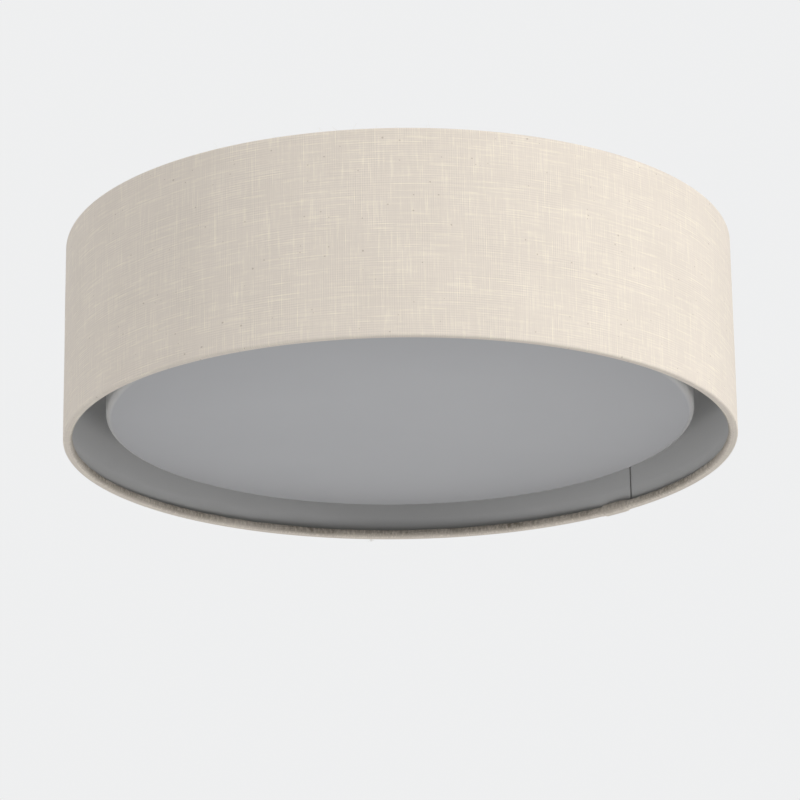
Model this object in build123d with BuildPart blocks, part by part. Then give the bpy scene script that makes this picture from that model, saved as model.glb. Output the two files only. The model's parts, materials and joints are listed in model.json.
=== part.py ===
from build123d import *
import os
from math import cos, radians, sin

# A flush mount ceiling light. A linen drum shade hangs round a shallow opal diffuser,
# and both hang from a spun steel pan that is screwed up against the ceiling.
# Millimetres, +Z up. The origin is the middle of the mounting bar's top face, in the
# plane of the ceiling, so the whole light lies below z = 0.

# Clearances that fits share
running_gap = 0.08  # radial play of a shank in its hole
seat_gap = 0.1  # play between faces that are screwed together but turn or part
bond_gap = 0.05  # glue line, or the air under a riveted strip
wire_gap = 0.1  # between a ring wire and the fabric rolled round it
tab_slot_gap = 0.3  # air round a tab where it comes through the hem
lead_gap = 0.15  # radial air round a lead in its hole
case_gap = 0.3  # from the driver's board to its case
cover_gap = 1.6  # from the cover's flange to the side of the pan's recess

# Shade
shade_radius = 203.0
shade_height = 124.0
ceiling_gap = 2.0  # from the ceiling to the shade's upper edge
fabric_thickness = 0.9
liner_thickness = 0.55
ring_wire_radius = 1.8
hem_edge_angle = 60.0  # left open between the wall and the rolled fabric's edge
crease_bend = 1.2  # where the fabric turns under at the shade's upper and lower edges
seam_angle = 44.0  # where both laps lie, seen from above, from +X
seam_lap = 22.0
seam_rise = 0.5  # how far the fabric's lap stands proud

# Tabs and thumb screws
arm_count = 3
first_arm_angle = 90.0
thumb_clearance = 5.0  # from the diffuser's side to a thumb screw's head
tab_thickness = 1.5
tab_width = 18.0
tab_nose = 6.5  # from a thumb screw's axis to the tab's inner end
thumb_shank_radius = 2.0
thumb_head_radius = 5.5
thumb_head_length = 8.0
thumb_tip_drop = 0.6  # from the ceiling to the screw's tip
knurl_count = 24
knurl_radius = 0.45
thumb_slot_width = 1.6
thumb_slot_depth = 1.2
washer_radius = 4.0
washer_thickness = 0.8
press_gap = 0.02

# Ceiling pan
pan_thickness = 1.0
skirt_reach = 12.0  # from the diffuser's rim down to the skirt's lower edge
rim_width = 12.0  # the band that bears on the ceiling
field_drop = 4.0  # from the ceiling to the face that backs the circuit board
recess_drop = 12.0  # from the ceiling to the recess floor
pan_bend = 2.0
skirt_flange = 8.0

# Ears of the pan
ear_thickness = 2.0
ear_width = 18.0
ear_drop = 1.0  # from the ceiling to the ear
ear_leg = 18.0
ear_bend = 3.0
collar_radius = 4.0
rivet_radius = 1.5
rivet_head_radius = 2.8
rivet_head_height = 1.0
rivet_tail_gap = 0.25  # lets a flat tail sit against the round skirt
ear_rivet_drop = 13.0
ear_rivet_spacing = 9.0

# Diffuser and its clips
ring_gap = 24.0  # the open ring between the shade's liner and the diffuser
diffuser_wall = 2.5
diffuser_lift = 15.5  # from the shade's lower edge up to the diffuser's face
diffuser_top_drop = 33.0  # from the ceiling to the diffuser's rim
diffuser_corner = 3.5
lip_width = 6.5  # from the diffuser's side in to the edge of its lip
lip_gap = 3.0  # from the edge of the lip to the pan's skirt
lip_bend = 1.5
clip_count = 4
first_clip_angle = 45.0
clip_thickness = 0.6
clip_width = 10.0
clip_length = 24.0
clip_hold = 2.0  # how far the nose reaches past the edge of the lip
clip_rise = 2.1  # from the lip's lower face up to where the clip leaves the skirt
clip_fall = 3.5  # from the lip's lower face down to the nose
clip_bend = 1.2
clip_rivet_inset = 5.0

# Mounting bar and its screws
bar_width = 22.0
bar_thickness = 1.8
slot_spacing = 79.4
slot_length = 14.0
slot_width = 4.5
bar_web = 1.7  # from a slot's end to the collar beside it
bar_end = 8.0  # from a bar screw's axis to the end of the bar
bar_screw_radius = 2.0
bar_screw_head_radius = 4.2
bar_screw_head_height = 2.6
bar_collar_radius = 3.6
bar_collar_length = 3.0
screw_tip_drop = 0.2  # from the ceiling to the tips of the bar's screws
ground_screw_place = (-20.0, 0.0)
ground_screw_radius = 1.75
ground_screw_head_radius = 3.6
ground_screw_head_height = 2.2
keyhole_turn = 15.0
keyhole_gap = 0.4

# Cable bushing
bushing_place = (-22.0, -30.0)
bushing_bore_radius = 7.0
bushing_body_radius = 9.9
bushing_flange_radius = 12.5
bushing_flange_thickness = 1.5

# Circuit board with its light sources
board_inner_gap = 8.0  # from the recess to the board's inner edge
board_outer_gap = 6.0  # from the rim band to the board's outer edge
board_thickness = 1.6
board_screw_count = 6
board_screw_angle = 30.0
led_inset = 16.0  # from an edge of the board to the circle of light sources beside it
inner_led_count = 20
outer_led_count = 28
led_length = 3.5
led_width = 2.8
led_height = 0.7
connector_inset = 5.0  # from the board's inner edge to the middle of the connector
connector_shift = 5.0
connector_length = 8.0
connector_width = 10.0
connector_height = 4.2
connector_pitch = 5.0
connector_entry_depth = 4.0

# Small machine screws that hold the inner pieces
small_screw_radius = 1.5
small_head_radius = 2.8
small_head_height = 2.0
small_screw_rise = 3.0  # how far the tips stand above the sheet they hold on to
driver_slot_width = 0.8
driver_slot_depth = 0.6

# Driver
driver_place = (0.0, 27.0)
driver_length = 76.0
driver_width = 34.0
driver_height = 20.0
driver_base_thickness = 1.0
driver_wall = 1.2
driver_ear_length = 9.0
driver_ear_width = 10.0
driver_board_thickness = 1.6
driver_post_height = 3.0
driver_post_radius = 2.0
driver_post_inset = 4.5
transformer_size = (18.0, 16.0, 11.0)
transformer_place = (6.0, 27.0)
capacitor_radius = 5.0
capacitor_length = 11.0
capacitor_place = (-16.0, 30.0)
input_entries = ((21.0, -23.0), (32.0, -25.0))  # y and z of the mains leads' holes
output_entries = ((22.0, -24.0), (30.0, -25.0))  # y and z of the board leads' holes

# Terminal block
block_place = (14.0, -32.0)
block_width = 16.0
block_length = 34.0
block_height = 14.0
pole_pitch = 10.5
pole_offset = 4.2  # from the middle of the block to a terminal screw
pole_screw_radius = 1.9
pole_screw_length = 4.0
pole_well_depth = 6.0
pole_entry_radius = 1.3
pole_entry_depth = 6.0
pole_entry_drop = 7.0  # from the block's foot to the wire entries

# Leads, with their routes chosen by hand
lead_radius = 0.9
lead_bend = 4.0
driver_lead_run = 9.0  # the straight run of a lead outside the driver's case
earth_screw_place = (42.0, -34.0)
earth_tag_thickness = 0.8
earth_tag_radius = 3.6
earth_tag_angle = 222.0
earth_tag_reach = 9.0
earth_barrel_radius = 1.5
earth_barrel_length = 4.0

# Driver cover
cover_radius = 64.0
cover_thickness = 0.8
cover_headroom = 6.0  # from the driver to the cover's lower face
cover_flange_width = 8.4
cover_bend = 3.0
cover_screw_count = 3
cover_screw_angle = 30.0
cover_notch_angle = 171.0
cover_notch_width = 13.0
cover_notch_height = 7.0

# Levels and radii that follow from these
shade_top = -ceiling_gap
shade_bottom = shade_top - shade_height
hem_radius = ring_wire_radius + wire_gap + fabric_thickness
hem_circle = shade_radius - hem_radius
top_hem_level = shade_top - hem_radius
bottom_hem_level = shade_bottom + hem_radius
liner_outer_radius = shade_radius - fabric_thickness - bond_gap
liner_inner_radius = liner_outer_radius - liner_thickness
diffuser_radius = liner_inner_radius - ring_gap
thumb_circle = diffuser_radius + thumb_clearance + thumb_head_radius
pan_radius = diffuser_radius - lip_width - lip_gap
cover_flange_radius = cover_radius + cover_flange_width
cover_screw_circle = cover_radius + cover_flange_width / 2
recess_radius = cover_flange_radius + cover_gap

tab_top = top_hem_level - ring_wire_radius
tab_bottom = tab_top - tab_thickness
tab_inner_end = thumb_circle - tab_nose
tab_outer_end = liner_inner_radius - tab_slot_gap
washer_bottom = tab_top + seat_gap
washer_top = washer_bottom + washer_thickness
collar_bottom = washer_top + seat_gap
thumb_head_top = tab_bottom - seat_gap

floor_top = -recess_drop
floor_bottom = floor_top - pan_thickness
field_bottom = -field_drop - pan_thickness
pan_bottom = -diffuser_top_drop - skirt_reach
ear_top = -ear_drop
ear_bottom = ear_top - ear_thickness
ear_face = pan_radius + bond_gap
rivet_tail_face = pan_radius - pan_thickness - rivet_tail_gap

diffuser_top = -diffuser_top_drop
diffuser_bottom = shade_bottom + diffuser_lift
lip_bottom = diffuser_top - diffuser_wall
clip_nose_reach = lip_gap + clip_hold
clip_top = lip_bottom + clip_rise + clip_length / 2
clip_rivet_level = clip_top - clip_rivet_inset

bar_screw_offset = slot_spacing / 2 + slot_length / 2 + bar_web + bar_collar_radius
bar_length = 2 * bar_screw_offset + 2 * bar_end
keyhole_radius = bar_screw_radius + keyhole_gap
keyhole_reach = bar_screw_offset * sin(radians(keyhole_turn / 2))
keyhole_middle = bar_screw_offset * cos(radians(keyhole_turn / 2))

board_inner_radius = recess_radius + board_inner_gap
board_outer_radius = pan_radius - rim_width - board_outer_gap
board_screw_circle = (board_inner_radius + board_outer_radius) / 2
board_bottom = field_bottom - board_thickness
led_circles = (
    (board_inner_radius + led_inset, inner_led_count),
    (board_outer_radius - led_inset, outer_led_count),
)
connector_place = (-board_inner_radius - connector_inset, connector_shift)
block_bottom = floor_bottom - block_height
driver_bottom = floor_bottom - driver_height
driver_base_bottom = floor_bottom - driver_base_thickness
small_tip = floor_top + small_screw_rise
driver_ear_x = driver_length / 2 + driver_ear_length / 2
cover_bottom = driver_bottom - cover_headroom
notch_level = floor_bottom - cover_thickness - cover_notch_height / 2
entry_level = floor_bottom - pole_entry_drop

arm_angles = [first_arm_angle + 360 / arm_count * index for index in range(arm_count)]
clip_angles = [first_clip_angle + 360 / clip_count * index for index in range(clip_count)]


def upright(angle):
    """A plane through the light's axis. Its x points outwards at the angle, its y up."""
    turn = radians(angle)
    return Plane((0, 0, 0), x_dir=(cos(turn), sin(turn), 0), z_dir=(sin(turn), -cos(turn), 0))


def facing(angle, radius):
    """A plane that stands across the radius and faces outwards. Its x runs round, its y up."""
    turn = radians(angle)
    outwards = Vector(cos(turn), sin(turn), 0)
    return Plane(outwards * radius, x_dir=(-sin(turn), cos(turn), 0), z_dir=outwards)


def hem_section(level, side):
    """The fabric's roll round a ring wire, creased at the shade's edge.

    Side is +1 for the upper hem, -1 for the lower.
    """
    wedge_reach = 2 * hem_radius
    edge = radians(hem_edge_angle)
    with BuildSketch() as section:
        for depth, mode in ((0, Mode.ADD), (fabric_thickness, Mode.SUBTRACT)):
            reach = hem_radius - depth
            with Locations((hem_circle, level)):
                Circle(reach, mode=mode)
            with BuildLine():
                FilletPolyline(
                    (hem_circle + reach, level),
                    (hem_circle + reach, level + side * reach),
                    (hem_circle, level + side * reach),
                    radius=crease_bend - depth,
                )
                Polyline(
                    (hem_circle, level + side * reach),
                    (hem_circle, level),
                    (hem_circle + reach, level),
                )
            make_face(mode=mode)
        with BuildLine():
            Polyline(
                (hem_circle, level),
                (hem_circle + wedge_reach, level),
                (hem_circle + wedge_reach, level - side * wedge_reach),
                (hem_circle + wedge_reach * cos(edge), level - side * wedge_reach * sin(edge)),
                close=True,
            )
        make_face(mode=Mode.SUBTRACT)
    return section.sketch


def hung_screws(places, head_top, head_radius, head_height, shank_radius, tip):
    """Slotted screws at these places, heads down, with their tips at one level."""
    with BuildPart() as screws:
        with BuildSketch(Plane.XY.offset(head_top)):
            with places:
                Circle(head_radius)
        extrude(amount=-head_height)
        fillet(screws.faces().group_by(Axis.Z)[0].edges(), head_height / 4)
        with BuildSketch(Plane.XY.offset(head_top - head_height)):
            with places:
                Rectangle(2 * head_radius, driver_slot_width)
        extrude(amount=driver_slot_depth, mode=Mode.SUBTRACT)
        with BuildSketch(Plane.XY.offset(head_top)):
            with places:
                Circle(shank_radius)
        extrude(amount=tip - head_top)
    return screws


def lead(*points):
    """A lead along its route, in straight runs joined by arcs."""
    with BuildPart() as run:
        with BuildLine() as route:
            FilletPolyline(*points, radius=lead_bend)
        with BuildSketch(Plane(route.line @ 0, z_dir=route.line % 0)):
            Circle(lead_radius)
        sweep()
    return run


os.makedirs("parts", exist_ok=True)

# The shade: fabric, liner, two rings and three tabs

upper_hem = hem_section(top_hem_level, 1)
lower_hem = hem_section(bottom_hem_level, -1)
with BuildPart() as shade_fabric:
    with BuildSketch(Plane.XZ):
        with Locations((shade_radius - fabric_thickness / 2, (top_hem_level + bottom_hem_level) / 2)):
            Rectangle(fabric_thickness, top_hem_level - bottom_hem_level)
        add(upper_hem)
        add(lower_hem)
    revolve(axis=Axis.Z)
    with BuildSketch(upright(seam_angle)):
        with Locations((shade_radius, (top_hem_level + bottom_hem_level) / 2)):
            Rectangle(2 * seam_rise, top_hem_level - bottom_hem_level)
    revolve(axis=Axis.Z, revolution_arc=seam_lap / radians(1) / shade_radius)
    with BuildSketch(Plane.XY.offset(tab_top + tab_slot_gap)):
        with PolarLocations(tab_outer_end, arm_count, start_angle=first_arm_angle):
            Rectangle(4 * hem_radius, tab_width + 2 * tab_slot_gap)
        Circle(liner_inner_radius, mode=Mode.INTERSECT)
    extrude(amount=-tab_thickness - 2 * tab_slot_gap, mode=Mode.SUBTRACT)
shade_fabric.part.label = "shade_fabric"
export_step(shade_fabric.part, "parts/shade_fabric.step")

with BuildPart() as shade_liner:
    liner_low = shade_bottom + 2 * hem_radius + wire_gap
    liner_high = shade_top - 2 * hem_radius - wire_gap
    with BuildSketch(Plane.XZ):
        with Locations((liner_outer_radius - liner_thickness / 2, (liner_low + liner_high) / 2)):
            Rectangle(liner_thickness, liner_high - liner_low)
    revolve(axis=Axis.Z)
    with BuildSketch(upright(seam_angle)):
        with Locations((liner_inner_radius, (liner_low + liner_high) / 2)):
            Rectangle(2 * liner_thickness, liner_high - liner_low)
    revolve(axis=Axis.Z, revolution_arc=seam_lap / radians(1) / shade_radius)
    with BuildSketch(Plane.XY.offset(tab_top + tab_slot_gap)):
        with PolarLocations(tab_outer_end, arm_count, start_angle=first_arm_angle):
            Rectangle(4 * hem_radius, tab_width + 2 * tab_slot_gap)
        Circle(liner_inner_radius, mode=Mode.INTERSECT)
    extrude(amount=-tab_thickness - 2 * tab_slot_gap, mode=Mode.SUBTRACT)
shade_liner.part.label = "shade_liner"
export_step(shade_liner.part, "parts/shade_liner.step")

with BuildPart() as shade_top_ring:
    with Locations((0, 0, top_hem_level)):
        Torus(hem_circle, ring_wire_radius)
shade_top_ring.part.label = "shade_top_ring"
export_step(shade_top_ring.part, "parts/shade_top_ring.step")

with BuildPart() as shade_bottom_ring:
    with Locations((0, 0, bottom_hem_level)):
        Torus(hem_circle, ring_wire_radius)
shade_bottom_ring.part.label = "shade_bottom_ring"
export_step(shade_bottom_ring.part, "parts/shade_bottom_ring.step")

for number, angle in enumerate(arm_angles, 1):
    with BuildPart() as shade_tab:
        with BuildSketch(Plane.XY.offset(tab_top)) as tab_outline:
            with PolarLocations((tab_inner_end + tab_outer_end) / 2, 1, start_angle=angle):
                Rectangle(tab_outer_end - tab_inner_end, tab_width)
            fillet(tab_outline.vertices().sort_by_distance((0, 0))[0:2], tab_nose / 2)
            with PolarLocations(thumb_circle, 1, start_angle=angle):
                Circle(thumb_shank_radius + running_gap, mode=Mode.SUBTRACT)
        extrude(amount=-tab_thickness)
    shade_tab.part.label = f"shade_tab_{number}"
    export_step(shade_tab.part, f"parts/shade_tab_{number}.step")

# The thumb screws, each kept in its tab by a washer pressed on its shank

for number, angle in enumerate(arm_angles, 1):
    with BuildPart() as thumb_screw:
        with BuildSketch(Plane.XY.offset(thumb_head_top)):
            with PolarLocations(thumb_circle, 1, start_angle=angle):
                Circle(thumb_head_radius)
                with PolarLocations(thumb_head_radius, knurl_count):
                    Circle(knurl_radius, mode=Mode.SUBTRACT)
        extrude(amount=-thumb_head_length)
        with BuildSketch(Plane.XY.offset(thumb_head_top)):
            with PolarLocations(thumb_circle, 1, start_angle=angle):
                Circle(thumb_shank_radius)
        extrude(amount=-thumb_tip_drop - thumb_head_top)
        with BuildSketch(Plane.XY.offset(thumb_head_top - thumb_head_length)):
            with PolarLocations(thumb_circle, 1, start_angle=angle):
                Rectangle(3 * thumb_head_radius, thumb_slot_width)
        extrude(amount=thumb_slot_depth, mode=Mode.SUBTRACT)
    thumb_screw.part.label = f"thumb_screw_{number}"
    export_step(thumb_screw.part, f"parts/thumb_screw_{number}.step")

    with BuildPart() as retaining_washer:
        with BuildSketch(Plane.XY.offset(washer_bottom)):
            with PolarLocations(thumb_circle, 1, start_angle=angle):
                Circle(washer_radius)
                Circle(thumb_shank_radius + press_gap, mode=Mode.SUBTRACT)
        extrude(amount=washer_thickness)
    retaining_washer.part.label = f"retaining_washer_{number}"
    export_step(retaining_washer.part, f"parts/retaining_washer_{number}.step")

# The ceiling pan and what is riveted to its skirt

with BuildPart() as pan:
    half = pan_thickness / 2
    with BuildSketch(Plane.XZ):
        with BuildLine():
            FilletPolyline(
                (0, floor_top - half),
                (recess_radius - half, floor_top - half),
                (recess_radius - half, -field_drop - half),
                (pan_radius - rim_width, -field_drop - half),
                (pan_radius - rim_width, -half),
                (pan_radius - half, -half),
                (pan_radius - half, pan_bottom + half),
                (pan_radius - skirt_flange, pan_bottom + half),
                radius=pan_bend,
            )
        trace(line_width=pan_thickness)
    revolve(axis=Axis.Z)
    with BuildSketch(Plane.XY.offset(floor_bottom)):
        with Locations(bushing_place):
            Circle(bushing_body_radius + bond_gap)
        with PolarLocations(bar_screw_offset, 2):
            Circle(keyhole_radius)
        with PolarLocations(bar_screw_offset, 2, start_angle=keyhole_turn):
            Circle(bar_screw_head_radius + keyhole_gap)
        with PolarLocations(keyhole_middle, 2, start_angle=keyhole_turn / 2):
            Rectangle(2 * keyhole_radius, 2 * keyhole_reach)
        with PolarLocations(cover_screw_circle, cover_screw_count, start_angle=cover_screw_angle):
            Circle(small_screw_radius + running_gap)
        with Locations(driver_place):
            with GridLocations(2 * driver_ear_x, 0, 2, 1):
                Circle(small_screw_radius + running_gap)
        with Locations(block_place):
            with GridLocations(0, pole_pitch, 1, 2):
                Circle(small_screw_radius + running_gap)
        with Locations(earth_screw_place):
            Circle(small_screw_radius + running_gap)
    extrude(amount=pan_thickness, mode=Mode.SUBTRACT)
    with BuildSketch(Plane.XY.offset(field_bottom)):
        with PolarLocations(board_screw_circle, board_screw_count, start_angle=board_screw_angle):
            Circle(small_screw_radius + running_gap)
    extrude(amount=pan_thickness, mode=Mode.SUBTRACT)
    for angle in arm_angles:
        with BuildSketch(facing(angle, pan_radius - skirt_flange)):
            with Locations((0, -ear_rivet_drop)):
                with GridLocations(ear_rivet_spacing, 0, 2, 1):
                    Circle(rivet_radius + bond_gap)
        extrude(amount=skirt_flange + pan_thickness, mode=Mode.SUBTRACT)
    for angle in clip_angles:
        with BuildSketch(facing(angle, pan_radius - skirt_flange)):
            with Locations((0, clip_rivet_level)):
                Circle(rivet_radius + bond_gap)
        extrude(amount=skirt_flange + pan_thickness, mode=Mode.SUBTRACT)
pan.part.label = "pan"
export_step(pan.part, "parts/pan.step")

for number, angle in enumerate(arm_angles, 1):
    with BuildPart() as pan_ear:
        with BuildSketch(upright(angle)) as bracket:
            with BuildLine():
                Polyline(
                    (ear_face, ear_top),
                    (thumb_circle + tab_nose, ear_top),
                    (thumb_circle + tab_nose, ear_bottom),
                    (ear_face + ear_thickness, ear_bottom),
                    (ear_face + ear_thickness, ear_top - ear_leg),
                    (ear_face, ear_top - ear_leg),
                    close=True,
                )
            make_face()
            fillet(bracket.vertices().sort_by_distance((ear_face, ear_top))[0], ear_bend)
            inner_corner = (ear_face + ear_thickness, ear_bottom)
            fillet(bracket.vertices().sort_by_distance(inner_corner)[0], ear_bend - ear_thickness / 2)
        extrude(amount=ear_width / 2, both=True)
        with BuildSketch(Plane.XY.offset(ear_bottom)):
            with PolarLocations(thumb_circle, 1, start_angle=angle):
                Circle(collar_radius)
        extrude(amount=collar_bottom - ear_bottom)
        with BuildSketch(Plane.XY.offset(ear_top)):
            with PolarLocations(thumb_circle, 1, start_angle=angle):
                Circle(thumb_shank_radius + running_gap)
        extrude(amount=collar_bottom - ear_top, mode=Mode.SUBTRACT)
        with BuildSketch(facing(angle, ear_face)):
            with Locations((0, -ear_rivet_drop)):
                with GridLocations(ear_rivet_spacing, 0, 2, 1):
                    Circle(rivet_radius + bond_gap)
        extrude(amount=ear_thickness, mode=Mode.SUBTRACT)
    pan_ear.part.label = f"pan_ear_{number}"
    export_step(pan_ear.part, f"parts/pan_ear_{number}.step")

with BuildPart() as ear_rivets:
    for angle in arm_angles:
        for face, radius, length in (
            (rivet_tail_face, rivet_radius, ear_face + ear_thickness - rivet_tail_face),
            (ear_face + ear_thickness, rivet_head_radius, rivet_head_height),
            (rivet_tail_face, rivet_head_radius, -rivet_head_height),
        ):
            with BuildSketch(facing(angle, face)):
                with Locations((0, -ear_rivet_drop)):
                    with GridLocations(ear_rivet_spacing, 0, 2, 1):
                        Circle(radius)
            extrude(amount=length)
ear_rivets.part.label = "ear_rivets"
export_step(ear_rivets.part, "parts/ear_rivets.step")

for number, angle in enumerate(clip_angles, 1):
    with BuildPart() as diffuser_clip:
        strip_line = ear_face + clip_thickness / 2
        with BuildSketch(upright(angle)):
            with BuildLine():
                FilletPolyline(
                    (strip_line, clip_top),
                    (strip_line, lip_bottom + clip_rise),
                    (strip_line + clip_nose_reach, lip_bottom - clip_fall),
                    (strip_line + clip_thickness, lip_bottom - 2 * clip_fall - clip_rise),
                    radius=clip_bend,
                )
            trace(line_width=clip_thickness)
        extrude(amount=clip_width / 2, both=True)
        with BuildSketch(facing(angle, ear_face)):
            with Locations((0, clip_rivet_level)):
                Circle(rivet_radius + bond_gap)
        extrude(amount=clip_thickness, mode=Mode.SUBTRACT)
    diffuser_clip.part.label = f"diffuser_clip_{number}"
    export_step(diffuser_clip.part, f"parts/diffuser_clip_{number}.step")

with BuildPart() as clip_rivets:
    for angle in clip_angles:
        for face, radius, length in (
            (rivet_tail_face, rivet_radius, ear_face + clip_thickness - rivet_tail_face),
            (ear_face + clip_thickness, rivet_head_radius, rivet_head_height),
            (rivet_tail_face, rivet_head_radius, -rivet_head_height),
        ):
            with BuildSketch(facing(angle, face)):
                with Locations((0, clip_rivet_level)):
                    Circle(radius)
            extrude(amount=length)
clip_rivets.part.label = "clip_rivets"
export_step(clip_rivets.part, "parts/clip_rivets.step")

# The diffuser, an opal pan with an inward lip that rests on the clips' noses

with BuildPart() as diffuser:
    half = diffuser_wall / 2
    with BuildSketch(Plane.XZ):
        with BuildLine():
            FilletPolyline(
                (0, diffuser_bottom + half),
                (diffuser_radius - half, diffuser_bottom + half),
                (diffuser_radius - half, diffuser_top - half),
                (diffuser_radius - lip_width, diffuser_top - half),
                radius=(diffuser_corner - half, lip_bend),
            )
        trace(line_width=diffuser_wall)
    revolve(axis=Axis.Z)
diffuser.part.label = "diffuser"
export_step(diffuser.part, "parts/diffuser.step")

# The mounting bar with its screws, and the bushing of the cable entry

with BuildPart() as mounting_bar:
    with BuildSketch():
        SlotOverall(bar_length, bar_width)
        with GridLocations(slot_spacing, 0, 2, 1):
            SlotOverall(slot_length, slot_width, mode=Mode.SUBTRACT)
    extrude(amount=-bar_thickness)
    with BuildSketch(Plane.XY.offset(-bar_thickness)):
        with GridLocations(2 * bar_screw_offset, 0, 2, 1):
            Circle(bar_collar_radius)
    extrude(amount=-bar_collar_length)
    with BuildSketch():
        with GridLocations(2 * bar_screw_offset, 0, 2, 1):
            Circle(bar_screw_radius + running_gap)
        with Locations(ground_screw_place):
            Circle(ground_screw_radius + running_gap)
    extrude(amount=-bar_thickness - bar_collar_length, mode=Mode.SUBTRACT)
mounting_bar.part.label = "mounting_bar"
export_step(mounting_bar.part, "parts/mounting_bar.step")

bar_screws = hung_screws(
    GridLocations(2 * bar_screw_offset, 0, 2, 1),
    floor_bottom,
    bar_screw_head_radius,
    bar_screw_head_height,
    bar_screw_radius,
    -screw_tip_drop,
)
bar_screws.part.label = "bar_screws"
export_step(bar_screws.part, "parts/bar_screws.step")

ground_screw = hung_screws(
    Locations(ground_screw_place),
    -bar_thickness,
    ground_screw_head_radius,
    ground_screw_head_height,
    ground_screw_radius,
    -screw_tip_drop,
)
ground_screw.part.label = "ground_screw"
export_step(ground_screw.part, "parts/ground_screw.step")

with BuildPart() as wire_bushing:
    with BuildSketch(Plane.XY.offset(floor_top + bushing_flange_thickness)):
        with Locations(bushing_place):
            Circle(bushing_flange_radius)
    extrude(amount=-bushing_flange_thickness)
    with BuildSketch(Plane.XY.offset(floor_top)):
        with Locations(bushing_place):
            Circle(bushing_body_radius)
    extrude(amount=-pan_thickness)
    with BuildSketch(Plane.XY.offset(floor_bottom)):
        with Locations(bushing_place):
            Circle(bushing_flange_radius)
    extrude(amount=-bushing_flange_thickness)
    with BuildSketch(Plane.XY.offset(floor_top + bushing_flange_thickness)):
        with Locations(bushing_place):
            Circle(bushing_bore_radius)
    extrude(amount=-pan_thickness - 2 * bushing_flange_thickness, mode=Mode.SUBTRACT)
wire_bushing.part.label = "wire_bushing"
export_step(wire_bushing.part, "parts/wire_bushing.step")

# The circuit board with its light sources, screws and connector

with BuildPart() as led_board:
    with BuildSketch(Plane.XY.offset(field_bottom)):
        Circle(board_outer_radius)
        Circle(board_inner_radius, mode=Mode.SUBTRACT)
        with PolarLocations(board_screw_circle, board_screw_count, start_angle=board_screw_angle):
            Circle(small_screw_radius + running_gap, mode=Mode.SUBTRACT)
    extrude(amount=-board_thickness)
led_board.part.label = "led_board"
export_step(led_board.part, "parts/led_board.step")

with BuildPart() as leds:
    with BuildSketch(Plane.XY.offset(board_bottom)):
        for circle_radius, led_count in led_circles:
            with PolarLocations(circle_radius, led_count):
                Rectangle(led_length, led_width)
    extrude(amount=-led_height)
leds.part.label = "leds"
export_step(leds.part, "parts/leds.step")

led_board_screws = hung_screws(
    PolarLocations(board_screw_circle, board_screw_count, start_angle=board_screw_angle),
    board_bottom,
    small_head_radius,
    small_head_height,
    small_screw_radius,
    -field_drop + small_screw_rise,
)
led_board_screws.part.label = "led_board_screws"
export_step(led_board_screws.part, "parts/led_board_screws.step")

with BuildPart() as led_connector:
    with BuildSketch(Plane.XY.offset(board_bottom)):
        with Locations(connector_place):
            Rectangle(connector_length, connector_width)
    extrude(amount=-connector_height)
    inner_face = connector_place[0] + connector_length / 2
    with BuildSketch(Plane.YZ.offset(inner_face)):
        with Locations((connector_place[1], board_bottom - connector_height / 2)):
            with GridLocations(connector_pitch, 0, 2, 1):
                Circle(lead_radius + lead_gap)
    extrude(amount=-connector_entry_depth, mode=Mode.SUBTRACT)
led_connector.part.label = "led_connector"
export_step(led_connector.part, "parts/led_connector.step")

# The driver: base, case, board, transformer and capacitor

with BuildPart() as driver_base:
    with BuildSketch(Plane.XY.offset(floor_bottom)):
        with Locations(driver_place):
            Rectangle(driver_length, driver_width)
            Rectangle(driver_length + 2 * driver_ear_length, driver_ear_width)
            with GridLocations(2 * driver_ear_x, 0, 2, 1):
                Circle(small_screw_radius + running_gap, mode=Mode.SUBTRACT)
    extrude(amount=-driver_base_thickness)
    post_x = driver_length - 2 * driver_post_inset
    post_y = driver_width - 2 * driver_post_inset
    with BuildSketch(Plane.XY.offset(driver_base_bottom)):
        with Locations(driver_place):
            with GridLocations(post_x, post_y, 2, 2):
                Circle(driver_post_radius)
    extrude(amount=-driver_post_height)
driver_base.part.label = "driver_base"
export_step(driver_base.part, "parts/driver_base.step")

with BuildPart() as driver_case:
    with BuildSketch(Plane.XY.offset(driver_base_bottom)) as case_outline:
        with Locations(driver_place):
            Rectangle(driver_length, driver_width)
        fillet(case_outline.vertices(), driver_wall)
    extrude(amount=driver_bottom - driver_base_bottom)
    with BuildSketch(Plane.XY.offset(driver_base_bottom)):
        with Locations(driver_place):
            Rectangle(driver_length - 2 * driver_wall, driver_width - 2 * driver_wall)
    extrude(amount=driver_bottom + driver_wall - driver_base_bottom, mode=Mode.SUBTRACT)
    with BuildSketch(Plane.XY.offset(driver_base_bottom)):
        with Locations(driver_place):
            Rectangle(driver_length + 2 * driver_ear_length, driver_ear_width)
            Rectangle(driver_length - driver_wall, driver_ear_width, mode=Mode.SUBTRACT)
            with GridLocations(2 * driver_ear_x, 0, 2, 1):
                Circle(small_screw_radius + running_gap, mode=Mode.SUBTRACT)
    extrude(amount=-driver_wall)
    right_end = driver_place[0] + driver_length / 2
    with BuildSketch(Plane.YZ.offset(right_end)):
        with Locations(*input_entries):
            Circle(lead_radius + lead_gap)
    extrude(amount=-driver_wall, mode=Mode.SUBTRACT)
    left_end = driver_place[0] - driver_length / 2
    with BuildSketch(Plane.YZ.offset(left_end)):
        with Locations(*output_entries):
            Circle(lead_radius + lead_gap)
    extrude(amount=driver_wall, mode=Mode.SUBTRACT)
driver_case.part.label = "driver_case"
export_step(driver_case.part, "parts/driver_case.step")

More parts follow.
